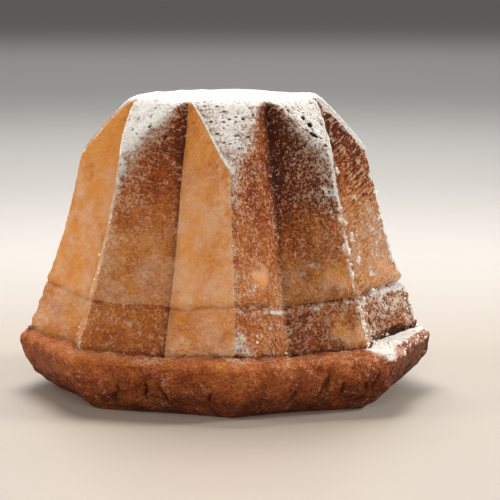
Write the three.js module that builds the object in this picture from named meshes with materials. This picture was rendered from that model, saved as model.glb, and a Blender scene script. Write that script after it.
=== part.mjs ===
// A pandoro: a tall, soft Christmas cake baked in a star-shaped mould and turned out upside down.
// The narrow end of the mould is the flat sugared top. Eight points run down and outward from it,
// with valleys between them, to the puffed rim where the dough rose over the mould's lip. The rim
// overhangs a flat foot, and its upper side is a ledge round the foot of the points.
//
// Units are millimetres, +Z is up, and the origin is the middle of the footprint.
// Angles run anticlockwise from +X, seen from above. One point lies on +X, and one on -Y, the front.

import * as THREE from "three";

// ---- Driving dimensions ----

const POINTS = 8;
const HEIGHT = 162;

// Radius of the points' crests at three heights. A parabola through them gives the rest.
const CREST_FOOT = { radius: 107, z: 33 };
const CREST_MIDDLE = { radius: 88, z: 85 };
const CREST_SHOULDER = { radius: 76.4, z: 135 };

// Angle between a flank and the radius to its crest, so a crest is twice this angle.
const FLANK_ANGLE_FOOT = 45;
const FLANK_ANGLE_TOP = 42.5;
const CREST_ROUNDING = 1.6; // degrees about the axis
const VALLEY_ROUNDING = 1.2;

// Towards the top the valleys are deeper by this much, so they notch the top's corners.
const VALLEY_CUT = 4.5;
const VALLEY_CUT_FROM = 112; // height where it starts
const VALLEY_CUT_TO = 156;

// The top is an octagon. A bevel falls from each of its sides to the shoulder of a point.
const TOP_APOTHEM = 50.3;
const BEVEL_RUN = 1.02; // outward run for each unit of drop, at the top
const BEVEL_CURVE = 0.0045; // how fast the bevel steepens, per millimetre
const BEVEL_SOFTNESS = 0.9;
const TOP_CROWN = 1.6; // how far the top's middle stands above its edge
const TOP_EDGE_DROP = 0.8;

// A fold runs round the cake where the crust wrinkled above the mould's lip.
const FOLD_AT_CREST = 58.5;
const FOLD_IN_VALLEY = 52;
const FOLD_DEPTH = 1.8;
const FOLD_HALF_WIDTH = 2.2;

// The ledge, and the rim below it.
const LEDGE_AT_CREST = 33; // height of the ledge's inner edge
const LEDGE_IN_VALLEY = 28.5;
const RIM_ANGLE = 65; // as the flank angle, for the rim's blunter star
const RIM_WIDEST = 27; // height of the rim's widest line
const RIM_LIP_HEIGHT = 30.5;
const RIM_LIP_INSET = 4;
const FOOT_INSET = 20; // from the rim's widest line in to the edge of the flat foot

// Each point's own form, anticlockwise from +X: how far its rim reaches from the axis, how much
// further out its crest lies than the parabola, how much flatter its bevel runs than usual, and
// how many degrees it is turned about the axis.
const EACH_POINT = [
  { reach: 112.5, crest: 0, bevel: 1, turn: 0.5 },
  { reach: 115.5, crest: 0.9, bevel: 1.06, turn: -0.5 },
  { reach: 113.5, crest: -0.6, bevel: 0.98, turn: -1.5 },
  { reach: 113, crest: 0.8, bevel: 1.04, turn: 1 },
  { reach: 112.5, crest: 0.8, bevel: 1.05, turn: 0 },
  { reach: 114.5, crest: 0.3, bevel: 1.1, turn: 0.5 },
  { reach: 114, crest: 0.8, bevel: 1, turn: 2.2 },
  { reach: 118.5, crest: 0.3, bevel: 1.08, turn: 1 },
];

// Mesh density.
const COLUMN_ANGLES = [0, 2, 5, 9.5, 14.5, 19, 22.5]; // from a crest to the next valley
const TOP_RINGS = 3;
const BEVEL_RINGS = [0, 4, 9, 14, 19, 23, 26, 29, 32, 36]; // millimetres below the top's edge
const FLANK_RINGS = [0.14, 0.3, 0.46, 0.62, 0.78, 0.92]; // shares of the way to the fold
const FOLD_RINGS = [2, 0, -2, -5, -13]; // millimetres above the fold
const LEDGE_STEPS = 2;
const LIP_STEPS = 2;
const UNDERSIDE_STEPS = 5;
const FOOT_RINGS = 2;

// ---- Small helpers ----

const { degToRad, lerp, smoothstep } = THREE.MathUtils;
const SECTOR = 360 / POINTS;
const TOP_EDGE = HEIGHT - TOP_CROWN - TOP_EDGE_DROP;

function softPositive(value, rounding) {
  return Math.sqrt(value * value + rounding * rounding);
}

function softMinimum(a, b, softness) {
  const lower = Math.min(a, b);
  const gap = Math.abs(a - b);
  return lower - softness * Math.log(1 + Math.exp(-gap / softness));
}

// A quantity that each point has its own value of, blended smoothly at the angles between.
function blendPoints(angle, key) {
  const place = angle / SECTOR;
  const first = Math.floor(place);
  const share = smoothstep(place - first, 0, 1);
  return lerp(EACH_POINT[first % POINTS][key], EACH_POINT[(first + 1) % POINTS][key], share);
}

// Degrees from the nearest crest: 0 on it, half a sector in the valley.
function fromCrest(angle) {
  return Math.abs(angle - Math.round(angle / SECTOR) * SECTOR);
}

// The same, for a crest and a valley that are slightly rounded.
function roundedFromCrest(away) {
  const half = SECTOR / 2;
  return half - softPositive(half - softPositive(away, CREST_ROUNDING), VALLEY_ROUNDING);
}

// Straight flanks on both sides of a crest that lies at the given radius.
function starRadius(crest, flankAngle, angle) {
  const flank = (away) => Math.sin(degToRad(flankAngle + roundedFromCrest(away)));
  return (crest * flank(0)) / flank(fromCrest(angle));
}

// ---- The form ----

function crestRadius(z) {
  const [a, b, c] = [CREST_FOOT, CREST_MIDDLE, CREST_SHOULDER];
  const part = (p, q, r) => (p.radius * (z - q.z) * (z - r.z)) / ((p.z - q.z) * (p.z - r.z));
  return part(a, b, c) + part(b, a, c) + part(c, a, b);
}

function bevelRadius(z, angle) {
  const drop = TOP_EDGE - z;
  const run = drop * BEVEL_RUN * blendPoints(angle, "bevel") - BEVEL_CURVE * drop * drop;
  return (TOP_APOTHEM + run) / Math.cos(degToRad(fromCrest(angle)));
}

// A quantity that is one value at the crests and another in the valleys.
function crestToValley(atCrest, inValley, angle) {
  return lerp(atCrest, inValley, fromCrest(angle) / (SECTOR / 2));
}

// Radius of the body between the ledge and the top, at a height and an angle.
function bodyRadius(z, angle) {
  const foldHeight = crestToValley(FOLD_AT_CREST, FOLD_IN_VALLEY, angle);
  const fold = FOLD_DEPTH * Math.exp(-(((z - foldHeight) / FOLD_HALF_WIDTH) ** 2));
  const crest = crestRadius(z) + blendPoints(angle, "crest") - fold;
  const rise = (z - CREST_FOOT.z) / (HEIGHT - CREST_FOOT.z);
  const star = starRadius(crest, lerp(FLANK_ANGLE_FOOT, FLANK_ANGLE_TOP, rise), angle);
  const cut = VALLEY_CUT * smoothstep(z, VALLEY_CUT_FROM, VALLEY_CUT_TO);
  const flank = star - crestToValley(0, cut, angle);
  return softMinimum(flank, bevelRadius(z, angle), BEVEL_SOFTNESS);
}

// Heights of the body's rings at one angle, closer together at the shoulders and the fold.
function bodyHeights(angle) {
  const foldHeight = crestToValley(FOLD_AT_CREST, FOLD_IN_VALLEY, angle);
  const bevel = BEVEL_RINGS.map((below) => TOP_EDGE - below);
  const flank = FLANK_RINGS.map((share) => lerp(bevel.at(-1), foldHeight, share));
  const fold = FOLD_RINGS.map((above) => foldHeight + above);
  return [...bevel, ...flank, ...fold];
}

// The cake's outline at one angle, as points (radius, height) from the top's middle to the foot's.
function profile(angle) {
  const outline = [];
  const add = (radius, z) => outline.push(new THREE.Vector2(radius, z));

  const topRadius = bodyRadius(TOP_EDGE, angle) - TOP_EDGE_DROP;
  for (let ring = 1; ring <= TOP_RINGS; ring += 1) {
    const share = ring / TOP_RINGS;
    add(topRadius * share, HEIGHT - TOP_CROWN * share * share);
  }
  for (const z of bodyHeights(angle)) add(bodyRadius(z, angle), z);

  const ledge = crestToValley(LEDGE_AT_CREST, LEDGE_IN_VALLEY, angle);
  const inner = bodyRadius(ledge, angle);
  add(inner, ledge);

  const rim = starRadius(blendPoints(angle, "reach"), RIM_ANGLE, angle);
  const lip = Math.max(rim - RIM_LIP_INSET, inner + 1);
  for (let step = 1; step < LEDGE_STEPS; step += 1) {
    const share = step / LEDGE_STEPS;
    add(lerp(inner, lip, share), lerp(ledge, RIM_LIP_HEIGHT, share));
  }
  for (let step = 0; step <= LIP_STEPS; step += 1) {
    const turn = (step / LIP_STEPS) * (Math.PI / 2);
    add(lerp(lip, rim, Math.sin(turn)), lerp(RIM_WIDEST, RIM_LIP_HEIGHT, Math.cos(turn)));
  }
  for (let step = 1; step <= UNDERSIDE_STEPS; step += 1) {
    const share = step / UNDERSIDE_STEPS;
    add(rim - FOOT_INSET * share * share, RIM_WIDEST * (1 - share));
  }
  const foot = rim - FOOT_INSET;
  for (let ring = FOOT_RINGS - 1; ring >= 1; ring -= 1) add((foot * ring) / FOOT_RINGS, 0);
  return outline;
}

// The angles of the mesh's columns, closer together at the crests and the valleys.
function columnAngles() {
  const last = COLUMN_ANGLES.length - 1;
  const rising = COLUMN_ANGLES.slice(0, last);
  const falling = COLUMN_ANGLES.slice(1).reverse().map((away) => SECTOR - away);
  const angles = [];
  for (let point = 0; point < POINTS; point += 1) {
    for (const away of [...rising, ...falling]) angles.push(point * SECTOR + away);
  }
  return angles;
}

// Joins the outlines of all angles into one closed surface with a middle vertex at each end.
function loft(angles) {
  const outlines = angles.map(profile);
  const rings = outlines[0].length;
  const columns = angles.length;
  const positions = [0, 0, HEIGHT];
  for (let ring = 0; ring < rings; ring += 1) {
    for (let column = 0; column < columns; column += 1) {
      const { x: radius, y: z } = outlines[column][ring];
      const angle = degToRad(angles[column] + blendPoints(angles[column], "turn"));
      positions.push(radius * Math.cos(angle), radius * Math.sin(angle), z);
    }
  }
  positions.push(0, 0, 0);

  const vertex = (ring, column) => 1 + ring * columns + (column % columns);
  const lastVertex = positions.length / 3 - 1;
  const faces = [];
  for (let column = 0; column < columns; column += 1) {
    faces.push(0, vertex(0, column), vertex(0, column + 1));
    for (let ring = 0; ring < rings - 1; ring += 1) {
      const [a, b] = [vertex(ring, column), vertex(ring, column + 1)];
      const [c, d] = [vertex(ring + 1, column), vertex(ring + 1, column + 1)];
      faces.push(a, c, d, a, d, b);
    }
    faces.push(lastVertex, vertex(rings - 1, column + 1), vertex(rings - 1, column));
  }

  const geometry = new THREE.BufferGeometry();
  geometry.setAttribute("position", new THREE.Float32BufferAttribute(positions, 3));
  geometry.setIndex(faces);
  return geometry;
}

// Moves the cake sideways so that the middle of its footprint is exactly the origin.
function centreFootprint(geometry) {
  geometry.computeBoundingBox();
  const middle = geometry.boundingBox.getCenter(new THREE.Vector3());
  geometry.translate(-middle.x, -middle.y, 0);
  geometry.computeVertexNormals();
  return geometry;
}

function makeCake() {
  const crust = new THREE.MeshStandardMaterial({ color: 0xb9793f, roughness: 0.8, metalness: 0 });
  const cake = new THREE.Mesh(centreFootprint(loft(columnAngles())), crust);
  cake.name = "pandoro";
  return cake;
}

const pandoro = new THREE.Group();
pandoro.add(makeCake());

export default pandoro;
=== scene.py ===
"""A whole pandoro dusted with icing sugar, on a plain pale table in soft studio light.

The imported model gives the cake's place and its box. This script replaces its plain solid with a
fine mesh of the same form, with the crust's dents, folds and wrinkles, and finishes it with a
material that browns and sugars each part as the crumb and the sieve left them. Form sizes are in
millimetres until a mesh is made, and scene sizes are in metres.
"""

import math

import bmesh
import bpy
import numpy as np
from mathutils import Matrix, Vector


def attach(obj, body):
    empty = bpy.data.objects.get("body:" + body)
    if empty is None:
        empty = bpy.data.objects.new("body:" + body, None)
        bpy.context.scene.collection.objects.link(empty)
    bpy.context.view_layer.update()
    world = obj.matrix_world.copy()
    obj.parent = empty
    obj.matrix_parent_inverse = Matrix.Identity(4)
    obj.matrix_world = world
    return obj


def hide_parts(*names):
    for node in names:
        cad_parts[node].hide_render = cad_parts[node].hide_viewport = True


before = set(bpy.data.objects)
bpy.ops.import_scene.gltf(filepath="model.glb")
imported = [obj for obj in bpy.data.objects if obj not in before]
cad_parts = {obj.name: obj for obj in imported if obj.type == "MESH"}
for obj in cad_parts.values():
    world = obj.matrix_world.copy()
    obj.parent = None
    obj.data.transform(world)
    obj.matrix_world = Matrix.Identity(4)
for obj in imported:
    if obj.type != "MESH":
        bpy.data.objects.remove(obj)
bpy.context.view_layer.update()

NODE = "pandoro"
MM = 0.001

# ---- The form's driving dimensions, in millimetres and degrees ----

# They are those of the part's source, but CREST_ROUNDING, VALLEY_ROUNDING and BEVEL_SOFTNESS are
# finer here, and POINT_TOP and the twist are this script's own.

POINTS = 8
SECTOR = 360 / POINTS
HEIGHT = 162
CREST_HEIGHTS = (33, 85, 135)  # foot, middle and shoulder
CREST_RADII = (107, 88, 76.4)
FLANK_ANGLE_FOOT = 45
FLANK_ANGLE_TOP = 42.5
CREST_ROUNDING = (1.2, 1.6, 2.0, 2.2, 2.6, 2.4, 1.9, 1.2)  # for each point
VALLEY_ROUNDING = 0.9
VALLEY_CUT = 4.5  # how much deeper the valleys are towards the top
VALLEY_CUT_FROM = 112  # height where that starts
VALLEY_CUT_TO = 156
TOP_APOTHEM = 50.3
BEVEL_RUN = 1.02
BEVEL_CURVE = 0.0045
BEVEL_SOFTNESS = (0.7, 1.5, 1.5, 1.5, 1.5, 1.5, 1.5, 1.3)  # for each point
TOP_CROWN = 1.6
TOP_EDGE_DROP = 0.8
TOP_EDGE = HEIGHT - TOP_CROWN - TOP_EDGE_DROP
FOLD_AT_CREST = 58.5
FOLD_IN_VALLEY = 52
LEDGE_AT_CREST = 33
LEDGE_IN_VALLEY = 28.5
RIM_ANGLE = 65
RIM_WIDEST = 27
RIM_LIP_HEIGHT = 30.5
RIM_LIP_INSET = 4
FOOT_INSET = 20

# Each point anticlockwise from +X: reach of its rim, how far its crest lies beyond the usual, how much
# flatter its bevel runs, how far its side of the top lies beyond the usual, and how many degrees it
# is turned.
POINT_REACH = (112.5, 115.5, 113.5, 113, 112.5, 114.5, 114, 118.5)
POINT_CREST = (0, 0.9, -0.6, 0.8, 0.8, 0.3, 0.8, 0.3)
POINT_BEVEL = (1, 1.06, 0.98, 1.04, 1.05, 1.1, 1, 1.08)
POINT_TOP = (1.2, 0, 0, 0, 0, 0, 0, 0)
POINT_TURN = (0.5, -0.5, -1.5, 1, 0, 0.5, 2.2, 1)
# How many degrees further each crest is turned below TWIST_BELOW, easing in from TWIST_FROM.
POINT_TWIST = (0, 0.8, -0.9, 0.5, 0, -0.4, 0.6, -2.1)
TWIST_FROM = 118
TWIST_BELOW = 62

# ---- The crust's relief, in millimetres ----

TOP_EDGE_SOFTNESS = 2.2  # reach of the rounding between the top and the bevels
SMOOTHING_STEPS = 13
SLANT = 0.18  # rise of the crust's slanted wrinkles for each unit to the right
FLOOR_FADE = 2.5  # height over which the relief fades out towards the flat foot

FOLD_DEPTH = 2.3
FOLD_HALF_WIDTH = 1.2
FOLD_WANDER = 2.3
BROW_SWELL = 0.7  # how far the crust swells out above the fold
BROW_RISE = 4  # how high above the fold that is
BROW_HALF_WIDTH = 3
BAND_SWELL = 0.8  # how far the band between fold and ledge swells out
BAND_SWELL_START = 1.4  # how soon below the fold
LEDGE_UNDERCUT = 4.0
LEDGE_UNDERCUT_HEIGHT = 1.7
EDGE_ROUNDING = (0.1, 1.0, 1.0, 1.0, 1.0, 1.0, 1.0, 1.0)  # of the top's edge, for each point
EDGE_HALF_WIDTH = 1.9
CREST_BUMPS_HALF_WIDTH = 2.0  # in degrees
CREST_BUMPS_SUNK = 0.075  # how much lower they lie on the whole
PORE_DEPTH = 0.6
PORE_SIZE = 2.6
LARGE_PORE_DEPTH = 1.7
LARGE_PORE_FLATNESS = 0.5  # its height as a share of its length
RIM_CREASE_DEPTH = 2.0
RIM_CREASE_WIDTH = 0.9

# Unevenness: how far it pushes the crust in or out, the size of its marks (or the size along each
# axis), and where it isn't 2, how many finer and finer sizes it is made of.
BROAD_DENTS = (0.9, 42)
SMALL_DENTS = (0.32, 9, 3)
DIMPLES = (0.6, 4.2)
CREST_BUMPS = (0.75, 3.6)
EDGE_LUMPS = (0.7, 4.5)
BAND_LUMPS = (1.0, 5.5)
BAND_CLODS = (0.5, 2.4)
WRINKLES = (0.34, (2.1, 9, 5))
TOP_LUMPS = (0.6, 6, 3)
LEDGE_LUMPS = (0.5, 4.5)
BARE_LEDGE_LUMPS = (1.5, 6)
RIM_DENTS = (1.3, 17)
RIM_LUMPS = (1.5, 6)
RIM_STRIATION = (0.3, (2.7, 24, 5))

# ---- Browning and sugar ----

# Each flank anticlockwise from the one just past +X, as nine numbers: how much sugar lies on it
# towards the top, above the fold and below the fold (0 bare, 1 hidden), how dark it is baked towards
# the top and above the fold (0 golden, 1 black brown), the height in millimetres above which it
# darkens, how far in millimetres the sugar of its bevel thins out below the bevel, how streaky its
# sugar is, and how deeply it is pitted.
FLANK_LOOKS = (
    (0.36, 0.46, 0.60, 0.85, 0.25, 108, 4, 0.9, 0.8),
    (0.32, 0.36, 0.45, 0.65, 0.22, 95, 4, 0.6, 0.6),
    (0.48, 0.30, 0.42, 0.95, 0.35, 98, 9, 0.4, 0.9),
    (0.34, 0.32, 0.40, 0.70, 0.25, 100, 4, 0.5, 0.6),
    (0.40, 0.34, 0.45, 0.60, 0.22, 100, 6, 0.5, 0.7),
    (0.42, 0.34, 0.45, 0.60, 0.22, 95, 8, 0.5, 0.7),
    (0.28, 0.24, 0.30, 0.35, 0.15, 110, 3, 0.4, 0.4),
    (0.18, 0.16, 0.15, 0.22, 0.10, 115, 2, 0.3, 0.3),
    (0.12, 0.14, 0.06, 0.08, 0.05, 120, 1, 0.2, 0.22),
    (0.50, 0.32, 0.15, 0.20, 0.10, 115, 2, 0.2, 0.25),
    (0.42, 0.20, 0.08, 0.70, 0.26, 108, 13, 0.3, 0.65),
    (0.16, 0.14, 0.12, 0.20, 0.12, 115, 0, 0.3, 0.3),
    (0.38, 0.26, 0.30, 0.65, 0.36, 92, 9, 0.3, 0.8),
    (0.58, 0.05, 0.30, 0.98, 0.30, 101, 12, 0.3, 1.0),
    (0.44, 0.40, 0.50, 0.80, 0.30, 95, 4, 0.5, 0.8),
    (0.14, 0.52, 0.54, 1.25, 0.20, 124, 4, 1.6, 0.95),
)
# Round the rim: the angle, and how much darker it is baked there.
RIM_BROWNING = ((0, 0.36), (40, 0.1), (120, 0.0), (305, 0.0), (325, 0.30), (360, 0.36))
BROWNING_SPREAD = 38  # half the height over which a flank darkens
# Each point anticlockwise from +X: sugar on its bevel, how pitted its bevel is, sugar along its
# crest, and how many times the usual breadth that has above the fold.
BEVEL_SUGAR = (1.6, 0.98, 0.95, 0.95, 1.0, 1.2, 0.94, 1.0)
BEVEL_PITTING = (0.15, 1, 1, 1, 0.5, 0.4, 1, 1)
CREST_SUGAR = (1.6, 1.0, 1.0, 0.7, 0.25, 0.70, 0.6, 1.15)
CREST_BREADTH = (1, 1, 1, 1, 1, 2.8, 1, 1)
BRUSHED_FLANKS = (7, 8)  # the sugar is brushed off their upper edge, which is golden
# Round the ledge: the angle, how much sugar lies on the ledge there, and how much on its lip.
LEDGE_SUGAR = (
    (0, 1.1, 0.3), (45, 1.15, 0.6), (85, 1.1, 0.5), (100, 0.9, 0.4), (135, 0.5, 0.2),
    (160, 0.15, 0.05), (205, 0.05, 0.0), (232, 0.25, 0.1), (250, 0.5, 0.3), (262, 0.2, 0.1),
    (285, 0.45, 0.3), (300, 0.3, 0.15), (311.5, 0.3, 0.2), (314.2, 1.5, 1.4), (318.5, 1.45, 1.2),
    (322, 1.4, 0.5), (350, 1.2, 0.3), (360, 1.1, 0.3),
)
# Round the cake: the angle, and how strongly the fold and the crease above the ledge are marked.
CREASING = ((0, 1.0), (60, 0.9), (120, 0.6), (170, 0.35), (232, 0.35), (262, 0.6), (285, 0.7), (296, 0.5),
            (312, 0.5), (318, 1.0), (360, 1.0))
# Round the crease above the ledge: the angle, and the height in millimetres of the shadow in it.
CREASE_HEIGHTS = ((0, 2.0), (60, 3.0), (120, 2.0), (200, 1.6), (290, 2.0), (315, 1.6), (332, 3.0),
                  (350, 5.0), (360, 2.0))
FLANK_WIDTH = 37  # from crest to valley, at half height
UPPER_FLANK_WIDTH = 0.75 * FLANK_WIDTH  # the same, nearer the bevels
# Bare golden patches: the flank, the share of the way from crest to valley, height, and radius.
PATCHES = (
    (13, 0.17, 67, 5),
    (13, 0.20, 42, 5.5),
    (12, 0.45, 70, 5),
    (15, 0.25, 66, 5),
    (2, 0.45, 70, 10),
    (5, 0.40, 62, 9),
)
# Large pores in the bevels: the flank, the share of the way from crest to valley, height, half-length,
# and slant (how far it rises for each unit to the right).
LARGE_PORES = (
    (13, 0.14, 150.1, 1.9, 0.2),
    (13, 0.08, 146.6, 2.4, 0.3),
    (13, 0.15, 141.6, 2.8, -0.6),
    (13, 0.66, 154.5, 1.0, 0.0),
    (13, 0.28, 154.8, 1.0, -0.3),
    (10, 0.17, 151.1, 1.1, 0.4),
    (10, 0.30, 146.0, 1.3, 0.4),
    (12, 0.30, 150.5, 1.3, 0.2),
    (12, 0.55, 152.5, 1.2, 0.6),
)
RANDOM_PORES = 46
# Smears of sugar on the flanks, given in the same way.
SMEARS = (
    (15, 0.80, 120, 3.6, 0.55),
    (15, 0.93, 117, 2.4, -0.4),
    (15, 0.72, 85, 4.2, 1.0),
    (15, 0.90, 93, 3.2, -0.9),
    (15, 0.77, 72, 4, 1.1),
    (15, 0.50, 105, 2.6, 0.6),
    (15, 0.55, 64, 3.4, 0.5),
    (13, 0.42, 74, 4, -0.6),
    (13, 0.10, 112, 6, -1.2),
    (13, 0.07, 99, 5, -1.4),
    (13, 0.04, 84, 3.6, 0.8),
    (13, 0.62, 70, 3, -0.5),
    (12, 0.30, 66, 3.4, 0.5),
    (0, 0.40, 90, 4, 0.6),
    (1, 0.60, 72, 4, -0.6),
    (14, 0.40, 80, 4, 0.5),
)

# Creases in the rim: the angle, the height of the middle, the half-length, and the lean (how far right
# for each unit up). The rest lie at random.
RIM_CREASES = (
    (312.0, 17, 6, 0.0),
    (307.0, 9, 5, 1.6),
    (310.5, 7, 4, 0.9),
    (303.5, 13, 8, -0.3),
    (318.5, 20, 6, 0.35),
    (322.0, 18, 6, 0.4),
    (327.0, 20, 5, 0.5),
)
RANDOM_RIM_CREASES = 38

# Each pair: two heights in millimetres, from the first of which to the second a look changes over.
LOW_TO_HIGH_SUGAR = (90, 132)
VALLEYS_LOSE_SUGAR = (80, 130)
CRESTS_GAIN_SUGAR = (95, 120)
BLOTCHES_END = (128, 104)
HAZE_BEGINS = (140, 102)
STREAKS_GROW = (72, 112)
PITS_DEEPEN = (60, 130)
CREST_BUMPS_END = (95, 125)
RIM_GETS_PALER = (5, 24)

CREST_SHARE = 1.12  # sugar at the crests as a share of their flank's
VALLEY_SHARE = (0.7, 0.04)  # the same in the valleys, low down and high up
CREST_LINE = (1.0, 1.5)  # half-width in degrees of the sugar along a crest, low down and high up
CREST_LINE_STRENGTH = (0.62, 1.0)  # low down and high up
BLOTCH_HALF_WIDTH = 3.0  # of the blotches of that sugar, in degrees
UNDER_BEVEL_SUGAR = (1.15, 0.85)  # where it thins out in a narrow strip, and in a wide one
RIGHT_BEVEL_DRIFT = 1.3  # added just below the right-hand bevel
TOP_SUGAR = 1.7
TOP_EDGE_SUGAR = 1.4

BEVEL_TOAST = 0.85
BRUSHED_TOAST = 0.2
LEDGE_TOAST = 0.50
RIM_TOAST = (0.82, 0.60)  # at the foot and towards the lip
HIDDEN_TOAST = 0.6  # under the foot and under the top's sugar

# The lines of painted shade in the valleys, the fold and the ledge's inner corner.
VALLEY_LINE_HALF_WIDTH = 1.7  # of the line of painted shade along a valley, in degrees
FOLD_LINE_HALF_WIDTH = 0.8
LEDGE_LINE_WIDTH = 0.9

SEED = 41


# ---- Helpers for arrays ----

def ramp(low, high, value):
    """0 up to the first limit, 1 from the second and smooth between, whichever limit is higher."""
    share = np.clip((value - low) / (high - low), 0, 1)
    return share * share * (3 - 2 * share)


def lerp(a, b, share):
    return a + (b - a) * share


def peak(distance, half_width):
    """1 where the distance is 0, falling to nearly 0 at twice the half-width."""
    return np.exp(-((distance / half_width) ** 2))


def soft_minimum(a, b, softness):
    """The smaller of two values, with the corner between them rounded inwards."""
    return np.minimum(a, b) - softness * np.log1p(np.exp(-np.abs(a - b) / softness))


class Lattice:
    """Smooth random values in space, the same on each run."""

    SIDE = 48

    def __init__(self, seed):
        self.values = np.random.default_rng(seed).uniform(-1, 1, (self.SIDE,) * 3)

    def at(self, places, size):
        """Values from -1 to 1 at places, with cells of the given size (one, or one for each axis)."""
        scaled = places / np.asarray(size, float)
        cell = np.floor(scaled).astype(int)
        share = scaled - cell
        share = share * share * (3 - 2 * share)
        total = np.zeros(len(places))
        for corner in np.ndindex(2, 2, 2):
            index = (cell + corner) % self.SIDE
            weight = np.prod(np.where(corner, share, 1 - share), axis=1)
            total += weight * self.values[index[:, 0], index[:, 1], index[:, 2]]
        return total

    def octaves(self, places, size, count):
        """Finer and finer values added up, each half as strong as the last."""
        total = sum(self.at(places + 7.3 * k, np.asarray(size) / 2**k) / 2**k for k in range(count))
        return total / 1.4


# ---- The form: every function takes arrays of heights and angles ----

def blend_points(angle, values):
    """A quantity that each point has its own value of, blended smoothly between them."""
    place = angle / SECTOR
    first = np.floor(place).astype(int)
    values = np.asarray(values, float)
    return lerp(values[first % POINTS], values[(first + 1) % POINTS], ramp(0, 1, place - first))


def from_crest(angle):
    """Degrees from the nearest crest, 0 to half a sector."""
    return np.abs(angle - np.round(angle / SECTOR) * SECTOR)


def to_valley(angle):
    """Share of the way from the nearest crest to the valley."""
    return from_crest(angle) / (SECTOR / 2)


def star_radius(crest, flank_angle, angle):
    """Straight flanks on both sides of a crest at the given radius, a little rounded at both ends."""
    half = SECTOR / 2

    def flank(away):
        off_crest = np.hypot(away, blend_points(angle, CREST_ROUNDING))
        rounded = half - np.hypot(half - off_crest, VALLEY_ROUNDING)
        return np.sin(np.radians(flank_angle + rounded))

    return crest * flank(0) / flank(from_crest(angle))


def crest_radius(z):
    """The parabola through the crest's three given radii."""
    return np.polyval(np.polyfit(CREST_HEIGHTS, CREST_RADII, 2), z)


def bevel_radius(z, angle):
    """The bevels, one on each side of the top's octagon, steeper and steeper downwards."""
    drop = TOP_EDGE - z
    run = drop * BEVEL_RUN * blend_points(angle, POINT_BEVEL) - BEVEL_CURVE * drop * drop
    return (TOP_APOTHEM + blend_points(angle, POINT_TOP) + run) / np.cos(np.radians(from_crest(angle)))


def flank_radius(z, angle):
    """The eight-pointed star of the flanks, with its valleys cut deeper towards the top."""
    rise = (z - CREST_HEIGHTS[0]) / (HEIGHT - CREST_HEIGHTS[0])
    crest = crest_radius(z) + blend_points(angle, POINT_CREST)
    cut = VALLEY_CUT * ramp(VALLEY_CUT_FROM, VALLEY_CUT_TO, z) * to_valley(angle)
    return star_radius(crest, lerp(FLANK_ANGLE_FOOT, FLANK_ANGLE_TOP, rise), angle) - cut


def body_radius(z, angle):
    """The cake above its ledge: the star, cut back by the bevels."""
    softness = blend_points(angle, BEVEL_SOFTNESS)
    return soft_minimum(flank_radius(z, angle), bevel_radius(z, angle), softness)


# ---- The fine mesh ----

COLUMNS_A_SIDE = 52
COLUMNS = COLUMNS_A_SIDE * 2 * POINTS
COLUMN_CROWDING = 0.5  # how much closer together columns lie at crests and valleys
TOP_ROWS = 26
TOP_ROW_SPACING = 0.75  # under 1, they lie closer together towards the edge
UPPER_ROWS = 158
BAND_ROWS = 34
LEDGE_ROWS = 18
LIP_ROWS = 7
UNDERSIDE_ROWS = 42
FOOT_ROWS = 8


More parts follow.
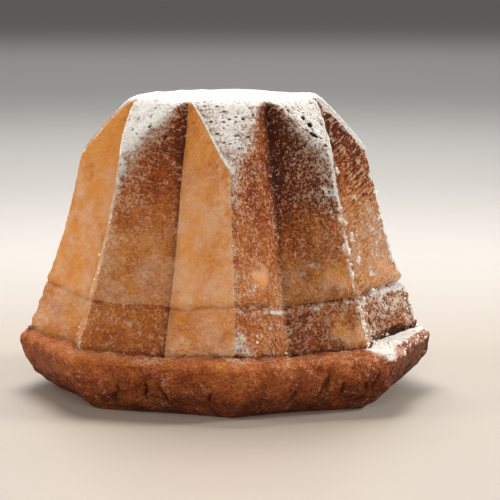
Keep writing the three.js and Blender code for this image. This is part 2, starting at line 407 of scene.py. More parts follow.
class Surface:
    """The cake's surface as rows by columns of points, and what each point is part of."""

    def __init__(self):
        self.lattice = Lattice(SEED)
        side = np.arange(COLUMNS) / COLUMNS_A_SIDE
        crowded = side - COLUMN_CROWDING * np.sin(2 * math.pi * side) / (2 * math.pi)
        self.angles = crowded * SECTOR / 2
        turned = np.radians(self.angles)
        circle = 100 * np.stack([np.cos(turned), np.sin(turned), 0 * turned], 1)
        wander = FOLD_WANDER * self.lattice.octaves(circle, 22, 2)
        self.fold = lerp(FOLD_AT_CREST, FOLD_IN_VALLEY, to_valley(self.angles)) + wander
        self.ledge = lerp(LEDGE_AT_CREST, LEDGE_IN_VALLEY, to_valley(self.angles))
        self.rows = []
        self.add_top()
        self.add_body()
        self.add_rim()
        self.kinds, self.radii, self.heights, self.twists = map(np.array, zip(*self.rows))
        self.shape = self.radii.shape
        self.angle = np.broadcast_to(self.angles, self.shape)
        self.place()
        self.flat = flat_places(self)
        self.mark_parts()

    def add(self, kind, radius, height, twist=0):
        """Adds a row of points below the last. Each measure is one number or one for each column."""
        blank = 0 * self.angles
        self.rows.append((kind, radius + blank, height + blank, twist + blank))

    def add_top(self):
        edge = body_radius(TOP_EDGE, self.angles) - TOP_EDGE_DROP
        for share in np.linspace(0, 1, TOP_ROWS + 1)[1:] ** TOP_ROW_SPACING:
            self.add("top", edge * share, HEIGHT - TOP_CROWN * share**2)

    def add_body(self):
        for share in np.linspace(0, 1, UPPER_ROWS, endpoint=False):
            z = lerp(TOP_EDGE, self.fold, share)
            self.add("flank", body_radius(z, self.angles), z, ramp(TWIST_FROM, TWIST_BELOW, z))
        for share in np.linspace(0, 1, BAND_ROWS):
            z = lerp(self.fold, self.ledge, share)
            self.add("band", body_radius(z, self.angles), z, 1)

    def add_rim(self):
        rim = star_radius(blend_points(self.angles, POINT_REACH), RIM_ANGLE, self.angles)
        inner = body_radius(self.ledge, self.angles)
        lip = np.maximum(rim - RIM_LIP_INSET, inner + 1)
        for share in np.linspace(0, 1, LEDGE_ROWS)[1:]:
            self.add("ledge", lerp(inner, lip, share), lerp(self.ledge, RIM_LIP_HEIGHT, share), 1 - share)
        for turn in np.linspace(0, math.pi / 2, LIP_ROWS)[1:]:
            self.add("lip", lerp(lip, rim, math.sin(turn)), lerp(RIM_WIDEST, RIM_LIP_HEIGHT, math.cos(turn)))
        for share in np.linspace(0, 1, UNDERSIDE_ROWS)[1:]:
            self.add("rim", rim - FOOT_INSET * share**2, RIM_WIDEST * (1 - share))
        for share in np.linspace(1, 0, FOOT_ROWS + 1)[1:-1]:
            self.add("foot", (rim - FOOT_INSET) * share, 0)

    def place(self):
        """Points in space, with the middle of the footprint on the origin, and their normals."""
        turn = blend_points(self.angle, POINT_TURN) + self.twists * blend_points(self.angle, POINT_TWIST)
        turned = np.radians(self.angle + turn)
        x, y = self.radii * np.cos(turned), self.radii * np.sin(turned)
        x -= (x.max() + x.min()) / 2
        y -= (y.max() + y.min()) / 2
        self.points = np.stack([x, y, self.heights], -1)
        self.soften_top_edge()
        down = np.gradient(self.points, axis=0)
        along = np.roll(self.points, -1, 1) - np.roll(self.points, 1, 1)
        normal = np.cross(down, along)
        self.areas = np.linalg.norm(normal, axis=-1)
        self.normals = normal / np.maximum(self.areas, 1e-9)[..., None]

    def soften_top_edge(self):
        """Evens out the rows near the top's edge, so that the top rolls over into the bevels."""
        out = np.hypot(self.points[..., 0], self.points[..., 1])
        gap = np.hypot(out - out[TOP_ROWS - 1], self.heights - TOP_EDGE)
        reach = 0.5 * peak(gap, TOP_EDGE_SOFTNESS)[1:-1, :, None]
        for _ in range(SMOOTHING_STEPS):
            middle = (self.points[:-2] + self.points[2:]) / 2
            self.points[1:-1] += reach * (middle - self.points[1:-1])
        self.heights = self.points[..., 2].copy()

    def mark_parts(self):
        """The parts of the surface, as shares from 0 to 1, and each place's look."""
        self.flank = self.is_kind("flank", "band")
        self.band = self.is_kind("band")
        self.excess = flank_radius(self.heights, self.angle) - bevel_radius(self.heights, self.angle)
        self.bevel = self.flank * ramp(-0.6, 1.0, self.excess)
        side = (self.angle / (SECTOR / 2)).astype(int) % (2 * POINTS)
        looks = np.moveaxis(np.array(FLANK_LOOKS)[side], -1, 0)
        self.top_sugar, self.low_sugar, self.band_sugar, self.toast, self.low_toast = looks[:5]
        self.browned_above, self.fade, self.streaks, self.pitting = looks[5:]
        high_up = ramp(*LOW_TO_HIGH_SUGAR, self.heights + 9 * self.noise(15))
        self.sugar = lerp(self.low_sugar, self.top_sugar, high_up)
        ledge_angles, on_ledge, on_lip = zip(*LEDGE_SUGAR)
        jittered = self.angle + 1.5 * self.noise(7)
        self.ledge_sugar = np.interp(jittered, ledge_angles, on_ledge)
        self.lip_sugar = np.interp(jittered, ledge_angles, on_lip)
        self.brushed = np.isin(side, BRUSHED_FLANKS) * 1.0
        self.bare = self.find_patches(side)
        by_chance = np.clip(0.95 + 0.5 * self.noise(14), 0.3, 1.3)
        self.creasing = np.interp(self.angle, *zip(*CREASING)) * by_chance
        crease_height = np.interp(self.angle, *zip(*CREASE_HEIGHTS)) * (1 + 0.5 * self.noise(7))
        above_ledge = np.clip(self.heights - self.ledge, 0, None) / crease_height
        self.crease = self.creasing * self.flank * ramp(1.3, 0.5, above_ledge)
        self.rim_creases = self.find_rim_creases()
        self.large_pores = self.find_marks(LARGE_PORES + self.random_pores(), side, 0.1)
        self.smears = self.find_marks(SMEARS, side, 0.7)

    def pitting_everywhere(self):
        """How deeply each place is pitted, from 0 to 1."""
        face = self.pitting * lerp(0.85, 1.0, ramp(*PITS_DEEPEN, self.heights))
        flank = self.flank * lerp(face, 0.75, self.bevel) * (1 - 0.45 * self.bare)
        return flank + 0.5 * self.is_kind("rim", "foot") + 0.4 * self.is_kind("lip", "ledge", "top")

    def find_patches(self, side):
        """1 inside the bare golden patches, easing to 0 at their ragged edges."""
        ragged = 1.1 * self.noise(5, 3)
        inside = np.zeros(self.shape)
        for flank, share, height, radius in PATCHES:
            across = (to_valley(self.angle) - share) * FLANK_WIDTH
            distance = np.hypot(across, self.heights - height) / radius
            inside = np.maximum(inside, (side == flank) * ramp(1.7, 0.4, distance + ragged))
        return inside

    def random_pores(self):
        """More large pores, high up in the bevels, given as LARGE_PORES are."""
        chance = np.random.default_rng(SEED)
        pores = []
        for _ in range(RANDOM_PORES):
            height = TOP_EDGE - chance.uniform(3, 22)
            share = chance.uniform(0.02, 0.9) * (TOP_EDGE - height) / 26
            length, slant = chance.uniform(0.5, 1.2), chance.uniform(-0.5, 0.5)
            pores.append((chance.integers(2 * POINTS), share, height, length, slant))
        return tuple(pores)

    def find_rim_creases(self):
        """1 along the creases of the rim, easing to 0 beside them."""
        chance = np.random.default_rng(SEED + 2)
        creases = list(RIM_CREASES)
        for _ in range(RANDOM_RIM_CREASES):
            angle, height = chance.uniform(0, 360), chance.uniform(8, 24)
            creases.append((angle, height, chance.uniform(3, 8), chance.uniform(-0.5, 0.5)))
        inside = np.zeros(self.shape)
        wander = 0.9 * self.noise(7)
        for angle, height, length, lean in creases:
            turned = (self.angle - angle + 180) % 360 - 180
            right = np.radians(turned) * self.radii + wander
            rise = self.heights - height
            across = right - lean * rise
            distance = np.hypot(across / RIM_CREASE_WIDTH, (rise + lean * right) / length)
            inside = np.maximum(inside, ramp(1.2, 0.3, distance))
        return inside * self.is_kind("rim", "lip")

    def find_marks(self, marks, side, raggedness):
        """1 inside the given flat ovals on the flanks, easing to 0 at their ragged edges."""
        ragged = raggedness * self.noise(2.4)
        inside = np.zeros(self.shape)
        for flank, share, height, length, slant in marks:
            right = np.where(side % 2 == 0, 1, -1) * (to_valley(self.angle) - share) * UPPER_FLANK_WIDTH
            rise = self.heights - height
            distance = np.hypot(right + slant * rise, (rise - slant * right) / LARGE_PORE_FLATNESS) / length
            inside = np.maximum(inside, (side == flank) * ramp(1.3, 0.6, distance + ragged))
        return inside * self.flank

    def is_kind(self, *names):
        """1 at the points of rows of the given kinds, 0 elsewhere."""
        return np.isin(self.kinds, names)[:, None] * np.ones(self.shape)

    def uneven(self, depth, size, count=2, places=None):
        """Dents and lumps of the given depth and size."""
        return depth * self.noise(size, count, places)

    def noise(self, size, count=2, places=None):
        """Smooth random values about 0, at the surface's own points unless other places are given."""
        places = self.points if places is None else places
        return self.lattice.octaves(places.reshape(-1, 3), size, count).reshape(self.shape)


def flat_places(surface):
    """Each point's distance round the cake's fold and down its own outline, in millimetres."""
    seam = COLUMNS // 4 + COLUMNS_A_SIDE  # a valley at the back
    fold_row = np.roll(surface.points[TOP_ROWS + UPPER_ROWS], -seam, 0)
    steps_round = np.linalg.norm(np.diff(fold_row, axis=0), axis=-1)
    around = np.roll(np.append(0, np.cumsum(steps_round)), seam)
    steps_down = np.linalg.norm(np.diff(surface.points, axis=0), axis=-1)
    down = np.vstack([np.zeros(COLUMNS), np.cumsum(steps_down, 0)])
    return np.stack([np.broadcast_to(around, down.shape), down, 0 * down], -1)


def relief(surface):
    """How far the crust lies outside the plain form, in millimetres, along the normal."""
    push = surface.uneven(*BROAD_DENTS) + surface.uneven(*SMALL_DENTS)
    push += relief_of_folds(surface) + relief_of_faces(surface) + relief_of_rim(surface)
    return push * (1 - surface.is_kind("foot")) * ramp(-0.1, FLOOR_FADE, surface.heights)


def relief_of_folds(surface):
    """The fold, the band that swells and clods below it, and the undercut above the ledge."""
    flank, band, creasing, noise = surface.flank, surface.band, surface.creasing, surface.noise
    below_fold = surface.fold - surface.heights
    above_ledge = surface.heights - surface.ledge
    push = flank * creasing * BROW_SWELL * peak(below_fold + BROW_RISE, BROW_HALF_WIDTH)
    push -= flank * creasing * FOLD_DEPTH * peak(below_fold, FOLD_HALF_WIDTH)

    swelling = 1 - np.exp(-np.clip(below_fold, 0, None) / BAND_SWELL_START)
    swelling = swelling * ramp(-0.5, 5, above_ledge) * ramp(0, 6, from_crest(surface.angle))
    push += band * creasing * BAND_SWELL * swelling * (0.5 + noise(8))
    clods = surface.uneven(*BAND_LUMPS) + surface.uneven(*BAND_CLODS)
    push += band * clods * ramp(0.2, 0.5, surface.band_sugar)

    undercut = LEDGE_UNDERCUT * np.exp(-above_ledge / LEDGE_UNDERCUT_HEIGHT) * (0.75 + 0.5 * noise(18, 1))
    return push - flank * undercut * np.clip(0.3 + creasing, 0, 1)


def relief_of_faces(surface):
    """Dimples, wrinkles and bumpy crests on the flanks, pores in the bevels, and a lumpy top edge."""
    angle, z, flat = surface.angle, surface.heights, surface.flat
    plain = surface.flank * (1 - surface.bevel)
    push = plain * surface.uneven(*DIMPLES) * surface.pitting * (1 - surface.bare)
    slanted = np.stack([flat[..., 1] + SLANT * flat[..., 0], flat[..., 0] - SLANT * flat[..., 1], 0 * z], -1)
    push += plain * (0.4 + surface.streaks) * surface.uneven(*WRINKLES, places=slanted)
    bumps = peak(from_crest(angle), CREST_BUMPS_HALF_WIDTH) * lerp(1, 0.3, ramp(*CREST_BUMPS_END, z))
    push += plain * bumps * (surface.uneven(*CREST_BUMPS) - CREST_BUMPS_SUNK)

    push -= surface.bevel * PORE_DEPTH * ramp(0.42, 0.62, surface.noise(PORE_SIZE, 1))
    push -= surface.large_pores * LARGE_PORE_DEPTH
    top = surface.is_kind("top")
    edge = peak(z - TOP_EDGE, EDGE_HALF_WIDTH) * (surface.flank + top)
    push += edge * (surface.uneven(*EDGE_LUMPS) - blend_points(angle, EDGE_ROUNDING))
    return push + top * surface.uneven(*TOP_LUMPS)


def relief_of_rim(surface):
    """The rim's lines, dents, lumps and creases, and the clotted sugar or rough crust of the ledge."""
    rim = surface.is_kind("lip", "rim") * ramp(0, 5, surface.heights)
    striation = surface.uneven(*RIM_STRIATION, places=surface.flat)
    push = rim * (striation + surface.uneven(*RIM_DENTS) + surface.uneven(*RIM_LUMPS))
    push -= surface.rim_creases * RIM_CREASE_DEPTH
    bare = 1 - ramp(0.5, 1.0, surface.ledge_sugar)
    clotted = 0.3 + surface.uneven(*LEDGE_LUMPS) + bare * surface.uneven(*BARE_LEDGE_LUMPS)
    return push + surface.is_kind("ledge") * clotted


def sugar_cover(surface):
    """How thickly the sugar lies: under 0.5 it is specks with crust between, over 1 it hides all."""
    face = sugar_on_faces(surface)
    face = add_sugar_under_bevels(surface, face)
    face = add_crest_sugar(surface, face)
    face = face * (1 - 0.75 * surface.bare) + 0.55 * surface.smears

    on_bevel = blend_points(surface.angle, BEVEL_SUGAR) * (0.90 + 0.24 * ramp(0.5, 12, surface.excess))
    on_bevel = on_bevel * (1 - 0.4 * surface.brushed * ramp(5.5, 0.5, surface.excess))
    cover = surface.flank * lerp(face, on_bevel, surface.bevel)
    cover += sugar_on_rim(surface)

    top_edge = surface.flank * ramp(TOP_EDGE - 3.5, TOP_EDGE, surface.heights)
    top_edge = top_edge * (1 - 0.7 * ramp(0.7, 1, to_valley(surface.angle)))
    cover = lerp(cover, TOP_EDGE_SUGAR, top_edge)
    return cover * (1 - np.clip(surface.crease, 0, 1)) - 0.5 * surface.rim_creases


def sugar_on_faces(surface):
    """The sugar that fell on the flanks and the band: most near the crests, least high in the valleys."""
    away = to_valley(surface.angle)
    in_valley = lerp(*VALLEY_SHARE, ramp(*VALLEYS_LOSE_SUGAR, surface.heights))
    on_flank = surface.sugar * lerp(CREST_SHARE, in_valley, ramp(0.02, 0.92, away))
    on_band = (surface.band_sugar + 0.35 * surface.noise(2.4)) * lerp(1.1, 0.9, away)
    return lerp(on_flank, on_band, surface.band)


def add_sugar_under_bevels(surface, face):
    """The sugar of a bevel thins out over its flank's fade. Beside the right-hand bevel it is thick."""
    away = to_valley(surface.angle)
    wide = ramp(4, 9, surface.fade)
    thinning = ramp(-surface.fade - 1.5, -1, surface.excess)
    thinning = thinning * (1 - ramp(lerp(0.85, 0.5, wide), 1.0, away))
    face = lerp(face, lerp(*UNDER_BEVEL_SUGAR, wide), thinning)

    on_right_point = np.cos(np.radians(surface.angle)) > 0.93
    reach = lerp(1.8, 4.5, ramp(135, 152, surface.heights))
    below_edge = -surface.excess / reach + 0.5 * surface.noise(3)
    drift = on_right_point * ramp(1.4, 0.7, below_edge) * (1 - ramp(0.9, 1.0, away))
    face = face + RIGHT_BEVEL_DRIFT * drift
    return face - 0.35 * surface.brushed * thinning


def add_crest_sugar(surface, face):
    """Sugar on the lip of the fold and along each crest, where it spreads in blotches low down."""
    z, angle = surface.heights, surface.angle
    fold_lip = peak(surface.fold - z - 2.2, 1.4) * ramp(0.2, 0.3, surface.band_sugar)
    face = face + 0.85 * fold_lip * np.clip(0.55 + 1.2 * surface.noise(9), 0, 1.2)

    sugared = ramp(0.2, 0.3, surface.low_sugar)
    blotches = ramp(0.0, 0.5, surface.noise(6.5)) * ramp(*BLOTCHES_END, z) * sugared
    half_width = lerp(lerp(*CREST_LINE, ramp(100, 125, z)), BLOTCH_HALF_WIDTH, blotches)
    half_width = half_width * lerp(1.0, blend_points(angle, CREST_BREADTH), ramp(72, 95, z))
    crest_line = peak(from_crest(angle), half_width) * blend_points(angle, CREST_SUGAR)
    strength = lerp(*CREST_LINE_STRENGTH, ramp(*CRESTS_GAIN_SUGAR, z))
    crest_line = crest_line * lerp(strength, 1.0, blotches)
    return np.maximum(face, 0.35 * face + crest_line)


def sugar_on_rim(surface):
    """The sugar on the top, the ledge and its lip, and the little that is smeared down the rim."""
    z, noise = surface.heights, surface.noise
    cover = TOP_SUGAR * surface.is_kind("top")
    cover += surface.is_kind("ledge") * surface.ledge_sugar * (1 + 0.25 * noise(9))
    lip = surface.is_kind("lip") * ramp(RIM_WIDEST - 1.5, RIM_WIDEST + 1, z)
    cover += lip * surface.lip_sugar * (1 + 0.5 * noise(5))
    smeared = 0.02 + 0.14 * ramp(10, RIM_WIDEST, z) * surface.lip_sugar + 0.2 * noise(11)
    return cover + surface.is_kind("rim") * smeared


def browning_and_valley_shade(surface):
    """How dark the crust is baked, from 0, golden, to 1, nearly black brown, with painted shade added towards
    the valleys.
    """
    z, angle, flank, band = surface.heights, surface.angle, surface.flank, surface.band
    rise = (z - surface.browned_above + 10 * surface.noise(16)) / BROWNING_SPREAD
    browned = ramp(-1, 1, rise)
    face = lerp(surface.low_toast, surface.toast, browned)
    # Painted shade: the browned crust is darkened further towards each valley.
    face += 0.35 * surface.toast * ramp(0.55, 1.0, to_valley(angle)) * browned
    face = lerp(face, 0.18 + 0.4 * surface.toast, band) * (1 - 1.1 * surface.bare)
    toast = flank * lerp(face, lerp(BEVEL_TOAST, BRUSHED_TOAST, surface.brushed), surface.bevel)
    darker = np.interp(angle, *zip(*RIM_BROWNING))
    toast += surface.is_kind("lip", "ledge") * (LEDGE_TOAST + darker)
    toast += surface.is_kind("rim") * (lerp(*RIM_TOAST, ramp(*RIM_GETS_PALER, z)) + darker)
    return toast + surface.is_kind("foot", "top") * HIDDEN_TOAST


def streakiness(surface):
    """How strongly the slanted strokes of sugar and browning show."""
    below_bevel = ramp(-0.5, -5, surface.excess)
    upwards = lerp(0.55, 1.0, ramp(*STREAKS_GROW, surface.heights))
    return surface.streaks * surface.flank * (1 - 0.8 * surface.band) * below_bevel * upwards


def painted_crevice_shade(surface):
    """Painted shade: the dark lines of shade painted along the valleys, the fold, and the creases of the rim
    and above the ledge.
    """
    angle, flank = surface.angle, surface.flank
    valley = flank * peak(SECTOR / 2 - from_crest(angle), VALLEY_LINE_HALF_WIDTH) * (1 - surface.bevel)
    valley = valley * lerp(0.35, 1.0, ramp(0.2, 0.6, surface.toast))
    fold = surface.creasing * flank * peak(surface.heights - surface.fold, FOLD_LINE_HALF_WIDTH)
    crease = surface.crease + 0.8 * surface.rim_creases
    out_on_ledge = surface.radii - body_radius(surface.ledge, angle)
    crease += surface.is_kind("ledge") * np.exp(-out_on_ledge / LEDGE_LINE_WIDTH)
    return np.clip(0.65 * valley + 0.8 * fold + crease, 0, 1)


def make_mesh(name, points, faces):
    mesh = bpy.data.meshes.new(name)
    mesh.from_pydata((points * MM).tolist(), [], faces)
    mesh.shade_smooth()
    piece = bpy.data.objects.new(name, mesh)
    bpy.context.scene.collection.objects.link(piece)
    return piece


def add_attribute(piece, name, values):
    layer = piece.data.attributes.new(name, "FLOAT", "POINT")
    layer.data.foreach_set("value", np.asarray(values, np.float32).ravel())


def grid_faces(rows, columns):
    """Quads between neighbouring rows, and a fan of triangles at each end."""
    row, column = np.meshgrid(np.arange(rows - 1), np.arange(columns), indexing="ij")
    after = (column + 1) % columns
    quads = np.stack([row * columns + column, (row + 1) * columns + column,
                      (row + 1) * columns + after, row * columns + after], -1).reshape(-1, 4)
    ends = []
    for k in range(columns):
        ends.append([rows * columns, k, (k + 1) % columns])
        ends.append([rows * columns + 1, (rows - 1) * columns + (k + 1) % columns, (rows - 1) * columns + k])
    return quads.tolist() + ends


def make_cake():
    surface = Surface()
    points = surface.points + surface.normals * relief(surface)[..., None]
    points[..., 2] = np.maximum(points[..., 2], 0)
    rows, columns = surface.shape
    ends = [[0, 0, points[0, :, 2].mean()], [0, 0, 0]]
    cake = make_mesh("cake", np.vstack([points.reshape(-1, 3), ends]), grid_faces(rows, columns))
    streaks = streakiness(surface)
    attributes = {
        "sugar": sugar_cover(surface),
        # The browning, with the painted shade towards the valleys.
        "toast": browning_and_valley_shade(surface),
        # Painted shade in the valleys, the fold and the creases.
        "crevice_shade": painted_crevice_shade(surface),
        "bevel": surface.bevel,
        "bevel pits": surface.bevel * blend_points(surface.angle, BEVEL_PITTING),
        "large pores": surface.large_pores,
        "streaks": streaks,
        "rim": surface.is_kind("lip", "rim"),
        "haze": ramp(*HAZE_BEGINS, surface.heights),
        "pitting": surface.pitting_everywhere(),
        "clumping": 1 + 0.9 * surface.band - 0.4 * surface.bevel + 1.4 * surface.smears + 0.5 * streaks,
        "around": surface.flat[..., 0],
        "down": surface.flat[..., 1],
    }
    for name, values in attributes.items():
        add_attribute(cake, name, np.append(values.ravel(), [values[0].mean(), values[-1].mean()]))
    return cake, surface, points


# ---- Loose clumps of sugar ----

CLUMPS = 1500
CLUMP_RADIUS = 0.36
CLUMP_SPREAD = 0.4  # of the logarithm of the radius
LARGEST_CLUMP = 0.95
CLUMP_RAGGEDNESS = 0.2
CLUMP_LIFT = 0.25  # how far its middle lies above the crust, as a share of its radius


def clump_places(surface):
    """How likely a loose clump is at each of the surface's points."""
    z, band_sugar = surface.heights, surface.band_sugar
    sugared = ramp(0.2, 0.4, surface.low_sugar)
    lower_crest = peak(from_crest(surface.angle), 2.5) * ramp(120, 95, z) * sugared
    fold_lip = peak(surface.fold - z - 2.5, 2) * band_sugar
    on_flank = 2.5 * surface.smears + 0.7 * lower_crest + 0.6 * fold_lip + 0.35 * surface.band * band_sugar
    on_ledge = 0.4 * ramp(0.6, 1.2, surface.ledge_sugar) * surface.is_kind("ledge", "lip")
    clustered = ramp(-0.1, 0.5, surface.noise(6))
    return (surface.flank * on_flank * sugared + on_ledge) * (0.15 + clustered) * surface.areas


def make_sugar_clumps(surface, points):
    chance = np.random.default_rng(SEED + 1)
    weights = clump_places(surface).ravel()
    spots = chance.choice(weights.size, CLUMPS, p=weights / weights.sum())
    ball = bmesh.new()
    bmesh.ops.create_icosphere(ball, subdivisions=2, radius=1)
    corners = np.array([corner.co[:] for corner in ball.verts])
    triangles = np.array([[corner.index for corner in face.verts] for face in ball.faces])
    ball.free()
    radii = np.minimum(CLUMP_RADIUS * chance.lognormal(0, CLUMP_SPREAD, CLUMPS), LARGEST_CLUMP)[:, None, None]
    stretch = chance.uniform(0.65, 1.35, (CLUMPS, 1, 3))
    ragged = 1 + CLUMP_RAGGEDNESS * chance.standard_normal((CLUMPS, len(corners), 1))
    lift = surface.normals.reshape(-1, 3)[spots][:, None] * radii * CLUMP_LIFT
    shapes = points.reshape(-1, 3)[spots][:, None] + lift + corners * radii * stretch * ragged
    faces = triangles + len(corners) * np.arange(CLUMPS)[:, None, None]
    return make_mesh("loose_sugar", shapes.reshape(-1, 3), faces.reshape(-1, 3).tolist())


# ---- Materials ----

class Shader:
    """A material's nodes, with a short call for each kind of step."""

    def __init__(self, name):
        self.material = bpy.data.materials.new(name)
        self.material.use_nodes = True
        self.tree = self.material.node_tree
        self.surface = self.tree.nodes["Principled BSDF"]

    def put(self, socket, value):
        if isinstance(value, bpy.types.NodeSocket):
            self.tree.links.new(value, socket)
        elif value is not None:
            socket.default_value = value

    def node(self, kind, inputs, **settings):
        made = self.tree.nodes.new(kind)
        for key, value in settings.items():
            setattr(made, key, value)
        for key, value in inputs.items():
            self.put(made.inputs[key], value)
        return made

    def math(self, operation, a, b=None, c=None):
        made = self.node("ShaderNodeMath", {0: a, 1: b}, operation=operation)
        self.put(made.inputs[2], c)
        return made.outputs[0]

    def scaled(self, value, gain, offset=0.0):
        return self.math("MULTIPLY_ADD", value, gain, offset)

    def plus(self, first, *others):
        for other in others:
            first = self.math("ADD", first, other)
        return first

    def times(self, a, b):
        return self.math("MULTIPLY", a, b)

    def ramp(self, low, high, value):
        made = self.node("ShaderNodeMapRange", {"Value": value, "From Min": low, "From Max": high},
                         interpolation_type="SMOOTHSTEP")
        return made.outputs["Result"]

    def mix(self, share, a, b):
        made = self.node("ShaderNodeMix", {"Factor": share}, data_type="RGBA")
        self.put(made.inputs[6], a)
        self.put(made.inputs[7], b)
        return made.outputs[2]

    def read(self, name):
        """The attribute of that name on the mesh."""
        return self.node("ShaderNodeAttribute", {}, attribute_name=name).outputs["Fac"]

    def millimetres(self):
        """The place on the piece, in millimetres."""
        where = self.node("ShaderNodeTexCoord", {}).outputs["Object"]
        return self.node("ShaderNodeVectorMath", {0: where, "Scale": 1 / MM}, operation="SCALE").outputs[0]

    def flat_place(self, x, y):
        return self.node("ShaderNodeCombineXYZ", {0: x, 1: y}).outputs[0]

    def noise(self, place, size, detail=2.0, rough=0.5):
        """Smooth random values, near 0.5 on average, with marks of the given size."""
        made = self.node("ShaderNodeTexNoise", {"Vector": place, "Scale": 1 / size, "Detail": detail,
                                                "Roughness": rough})
        return made.outputs["Fac"]

    def spread(self, value, gain):
        """Random values about 0 with the given gain."""
        return self.scaled(value, gain, -0.5 * gain)

    def set(self, **inputs):
        for key, value in inputs.items():
            self.put(self.surface.inputs[key.replace("_", " ")], value)


def colour(red, green, blue):
    return (red, green, blue, 1.0)


GOLDEN = colour(0.70, 0.29, 0.065)
CHESTNUT = colour(0.42, 0.101, 0.023)
DARK_CRUST = colour(0.115, 0.022, 0.008)
# The colour of the painted shade in crevices and large pores.
CREVICE_SHADE_MAROON = colour(0.022, 0.003, 0.002)
SUGAR = colour(0.90, 0.865, 0.815)
SPARSE_SUGAR = colour(0.90, 0.73, 0.55)
THIN_SUGAR = colour(0.74, 0.46, 0.31)
CLUMP_SHADE = colour(0.80, 0.68, 0.54)

# Marks: their size in millimetres, how many finer sizes they hold, and how strong those are.
BROWN_PATCHES = (13, 3)
BROWN_MOTTLE = (3.0, 3, 0.6)
BROWN_STROKES = (1.8, 3, 0.7)
RIM_STRIPES = (3.6, 3, 0.55)
PIT_GRAIN = (1.1, 3, 0.7)
SUGAR_DRIFTS = (11,)
SUGAR_CLUMPS = (3.4, 2.5, 0.65)
SUGAR_DABS = (1.9, 3, 0.65)
SUGAR_GRAIN = (0.45, 1)
HAZE_MOTTLE = (4, 3, 0.6)

PIT_SPACING = 1.45
PIT_WOBBLE = 2.4  # how far the net of pits is bent
PIT_WOBBLE_SIZE = 1.9
# Pores of the bevels: how far apart, how rare the widest are, and how wide as a share of that distance.
WIDE_PORES = (3.3, 2.4, 0.42)
FINE_PORES = (1.9, 1.8, 0.44)
STROKE_BREADTH = 0.32  # of the slanted strokes, as a share of their length
STRIPE_BREADTH = 0.12  # of the rim's stripes
BUMP_HEIGHT = 3.0


def slanted_place(shader):
    """A flat place whose first axis runs along the crust's slanted wrinkles."""
    around, down = shader.read("around"), shader.read("down")
    along = shader.plus(around, shader.scaled(down, -SLANT))
    across = shader.plus(down, shader.scaled(around, SLANT))
    return shader.flat_place(shader.scaled(along, STROKE_BREADTH), across)


def rim_stripes(shader):
    """Random values on the rim, drawn out from its lip to its foot."""
    around, down = shader.read("around"), shader.read("down")
    place = shader.flat_place(around, shader.scaled(down, STRIPE_BREADTH))
    stripes = shader.spread(shader.noise(place, *RIM_STRIPES), 0.25)
    return shader.times(stripes, shader.read("rim"))


def honeycomb(shader, place):
    """About 0 on average: low in the crust's fine pits and high on the net of ridges between them."""
    wobble = shader.node("ShaderNodeTexNoise", {"Vector": place, "Scale": 1 / PIT_WOBBLE_SIZE, "Detail": 1})
    bent = shader.node("ShaderNodeVectorMath", {0: wobble.outputs["Color"], 1: (PIT_WOBBLE,) * 3, 2: place},
                       operation="MULTIPLY_ADD")
    cells = shader.node("ShaderNodeTexVoronoi", {"Vector": bent.outputs[0], "Scale": 1 / PIT_SPACING})
    ridges = shader.scaled(cells.outputs["Distance"], 1.0, -0.46)
    grain = shader.spread(shader.noise(place, *PIT_GRAIN), 2.1)
    return shader.times(shader.plus(ridges, grain), shader.read("pitting"))


def open_large_pores(shader):
    return shader.ramp(0.25, 0.6, shader.read("large pores"))


def bevel_pores(shader, place, spacing, rarity, reach):
    """1 in the small pores of the bevels, which the sugar left open."""
    squeezed = shader.node("ShaderNodeMapping", {0: place, "Scale": (1, 1, 1.7)}).outputs[0]
    wobble = shader.node("ShaderNodeTexNoise", {"Vector": place, "Scale": 0.7, "Detail": 1})
    bent = shader.node("ShaderNodeVectorMath", {0: squeezed, 1: wobble.outputs["Color"]}, operation="ADD")
    cells = shader.node("ShaderNodeTexVoronoi", {"Vector": bent.outputs[0], "Scale": 1 / spacing})
    size = shader.node("ShaderNodeSeparateColor", {0: cells.outputs["Color"]}).outputs[0]
    radius = shader.scaled(shader.math("POWER", size, rarity), reach)
    hole = shader.ramp(0.07, -0.07, shader.math("SUBTRACT", cells.outputs["Distance"], radius))
    return shader.times(hole, shader.read("bevel pits"))


def crust_colour(shader, place, comb, stripes):
    """The baked crust under the sugar, from golden to nearly black brown, with painted shade in its fine
    pits, its crevices and its large pores.
    """
    patches = shader.spread(shader.noise(place, *BROWN_PATCHES), 0.7)
    mottle = shader.spread(shader.noise(place, *BROWN_MOTTLE), 0.4)
    strokes = shader.spread(shader.noise(slanted_place(shader), *BROWN_STROKES), 1.8)
    strokes = shader.times(strokes, shader.read("streaks"))
    # Painted shade: the comb darkens the crust in its fine pits.
    level = shader.plus(shader.read("toast"), patches, mottle, shader.scaled(comb, -0.68), stripes, strokes)
    warm = shader.mix(shader.ramp(0.0, 0.62, level), GOLDEN, CHESTNUT)
    deep = shader.mix(shader.ramp(0.45, 1.0, level), warm, DARK_CRUST)
    # Painted shade: the crevices and the large pores are darkened towards maroon.
    dark = shader.math("MAXIMUM", shader.read("crevice_shade"), open_large_pores(shader))
    return shader.mix(shader.scaled(dark, 0.9), deep, CREVICE_SHADE_MAROON)


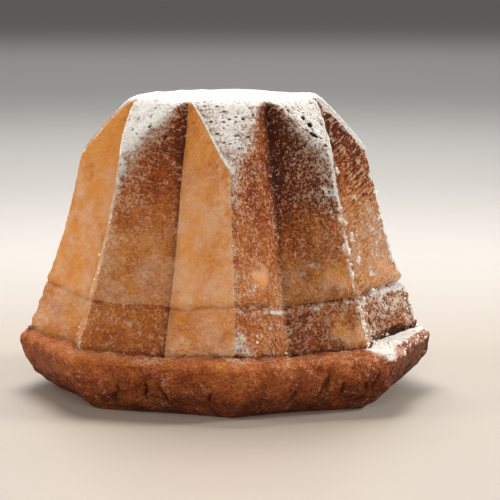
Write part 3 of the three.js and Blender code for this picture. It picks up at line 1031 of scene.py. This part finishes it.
def make_crust_material():
    """Crust with a haze of fine sugar where it is golden, then thin sugar, then powder that hides it."""
    shader = Shader("sugared crust")
    place = shader.millimetres()
    comb, stripes = honeycomb(shader, place), rim_stripes(shader)

    # How thickly the sugar lies, with its drifts, clumps and slanted dabs.
    broad = shader.noise(place, *SUGAR_DRIFTS)
    off_bevel = shader.scaled(shader.read("bevel"), -0.65, 1.0)
    drifts = shader.times(shader.spread(broad, 0.9), off_bevel)
    clumps = shader.times(shader.spread(shader.noise(place, *SUGAR_CLUMPS), 1.1), shader.read("clumping"))
    dabs = shader.ramp(0.48, 0.62, shader.noise(slanted_place(shader), *SUGAR_DABS))
    dabs = shader.times(shader.scaled(dabs, 0.75, -0.27), shader.read("streaks"))
    level = shader.plus(shader.read("sugar"), drifts, clumps, shader.scaled(dabs, 0.4),
                        shader.scaled(stripes, -0.8))

    # Where pores keep it open, and where it is thin or thick.
    wide_pores = shader.math("MAXIMUM", bevel_pores(shader, place, *WIDE_PORES), open_large_pores(shader))
    fine_pores = shader.scaled(bevel_pores(shader, place, *FINE_PORES), 0.8)
    closed = shader.math("SUBTRACT", 1.0, shader.math("MAXIMUM", wide_pores, fine_pores))
    textured = shader.plus(level, shader.scaled(comb, 1.1), shader.scaled(dabs, 0.9))
    thin = shader.times(shader.ramp(0.15, 0.90, textured), closed)
    thick = shader.ramp(0.66, 1.06, shader.plus(level, shader.scaled(comb, 0.75)))
    thick = shader.times(thick, closed)

    golden = shader.times(shader.ramp(0.5, 0.1, shader.read("toast")), shader.read("haze"))
    patchy = shader.plus(broad, shader.spread(shader.noise(place, *HAZE_MOTTLE), 0.4))
    haze = shader.times(shader.ramp(0.30, 0.66, patchy), golden)
    hazy = shader.mix(shader.scaled(haze, 0.56), crust_colour(shader, place, comb, stripes), THIN_SUGAR)
    dusted = shader.mix(shader.scaled(thin, 0.85), hazy, THIN_SUGAR)
    powder = shader.mix(shader.ramp(0.45, 0.95, shader.read("sugar")), SPARSE_SUGAR, SUGAR)

    grain = shader.noise(place, *SUGAR_GRAIN)
    height = shader.plus(shader.scaled(thick, 0.2), shader.scaled(grain, 0.10), shader.scaled(comb, 0.6),
                         shader.scaled(clumps, 0.6), shader.scaled(closed, 0.5))
    bump = shader.node("ShaderNodeBump", {"Height": height, "Strength": 1.0, "Distance": BUMP_HEIGHT * MM})
    shader.set(Base_Color=shader.mix(thick, dusted, powder), Normal=bump.outputs[0],
               Roughness=shader.scaled(thick, 0.35, 0.55), Specular_IOR_Level=0.14)
    return shader.material


def make_sugar_material():
    shader = Shader("loose sugar")
    place = shader.millimetres()
    shade = shader.mix(shader.noise(place, 0.6, 1), CLUMP_SHADE, SUGAR)
    bump = shader.node("ShaderNodeBump", {"Height": shader.noise(place, 0.25, 1), "Strength": 0.5,
                                          "Distance": 0.2 * MM})
    shader.set(Base_Color=shade, Normal=bump.outputs[0], Roughness=0.95, Specular_IOR_Level=0.2)
    return shader.material


# ---- The stage ----

FLOOR_RADIUS = 70  # metres
# Painted light and shade on the floor: darker near the cake and paler far behind it, with the far tones
# varying at random.
NEAR_FLOOR_SHADE = colour(0.42, 0.37, 0.315)
FAR_FLOOR_LIGHT_TONES = (colour(0.535, 0.500, 0.465), colour(0.56, 0.525, 0.49))
PAINTED_FALLOFF_SPAN = (50, 700)  # from how many to how many millimetres behind the cake's axis the painted shade near the cake gives way to the paler far floor


def make_floor():
    shader = Shader("pale table")
    place = shader.millimetres()
    far = shader.mix(shader.noise(place, 90), *FAR_FLOOR_LIGHT_TONES)
    away = shader.node("ShaderNodeSeparateXYZ", {0: place}).outputs[1]
    # Painted shade near the cake, giving way to painted light far behind it.
    tone = shader.mix(shader.ramp(*PAINTED_FALLOFF_SPAN, away), NEAR_FLOOR_SHADE, far)
    shader.set(Base_Color=tone, Roughness=0.35, Specular_IOR_Level=0.3)
    bpy.ops.mesh.primitive_circle_add(vertices=128, radius=FLOOR_RADIUS, fill_type="NGON")
    floor = bpy.context.object
    floor.name = "table"
    floor.data.materials.append(shader.material)


def make_light(name, place, size, power, tint, aim=(0, 0, 0.08)):
    lamp = bpy.data.lights.new(name, "AREA")
    lamp.shape = "RECTANGLE"
    lamp.size, lamp.size_y = size
    lamp.energy = power
    lamp.color = tint
    holder = bpy.data.objects.new(name, lamp)
    holder.location = place
    holder.rotation_euler = (Vector(aim) - Vector(place)).to_track_quat("-Z", "Y").to_euler()
    holder.visible_camera = False
    bpy.context.scene.collection.objects.link(holder)


def make_lights():
    make_light("top softbox", (-0.1, 0.5, 1.15), (0.7, 0.6), 17, (1.0, 0.99, 0.97))
    make_light("back softbox", (0.0, 1.7, 1.4), (1.6, 1.2), 22.0, (0.97, 0.99, 1.0), (0, 1.5, 0))
    make_light("left softbox", (-1.18, -0.25, 0.62), (0.3, 0.3), 7.2, (1.0, 0.94, 0.85))
    make_light("front softbox", (0.0, -1.6, 0.8), (0.6, 0.4), 10.4, (1.0, 0.98, 0.95))
    make_light("low front softbox", (0.45, -1.65, 0.3), (0.4, 0.3), 3.5, (1.0, 0.94, 0.86))
    make_light("right softbox", (1.18, -0.05, 0.72), (0.3, 0.3), 15.5, (1.0, 0.97, 0.93))
    make_light("far softbox", (0.0, 5.0, 4.5), (3.0, 3.0), 113, (0.96, 1.0, 1.04), (0, 5, 0))
    world = bpy.data.worlds.new("studio")
    world.use_nodes = True
    back = world.node_tree.nodes["Background"]
    back.inputs["Color"].default_value = colour(1.0, 0.99, 0.97)
    back.inputs["Strength"].default_value = 0.15
    bpy.context.scene.world = world


CAMERA_DISTANCE = 1.193
CAMERA_HEIGHT = 0.215
CAMERA_PITCH = 6.69  # degrees down
CAMERA_TURN = 0.65  # degrees to the right of the cake's axis
FOCAL_SHARE = 4.384  # focal length as a share of the picture's width


def make_camera():
    data = bpy.data.cameras.new("camera")
    data.lens = FOCAL_SHARE * data.sensor_width
    camera = bpy.data.objects.new("camera", data)
    camera.location = (0, -CAMERA_DISTANCE, CAMERA_HEIGHT)
    camera.rotation_euler = (math.radians(90 - CAMERA_PITCH), 0, math.radians(-CAMERA_TURN))
    bpy.context.scene.collection.objects.link(camera)
    bpy.context.scene.camera = camera


make_camera()
make_lights()
make_floor()
bpy.context.scene.view_settings.view_transform = "Standard"

cake, surface, points = make_cake()
cake.data.materials.append(make_crust_material())
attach(cake, "root")
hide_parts(NODE)

sugar = make_sugar_clumps(surface, points)
sugar.data.materials.append(make_sugar_material())
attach(sugar, "root")
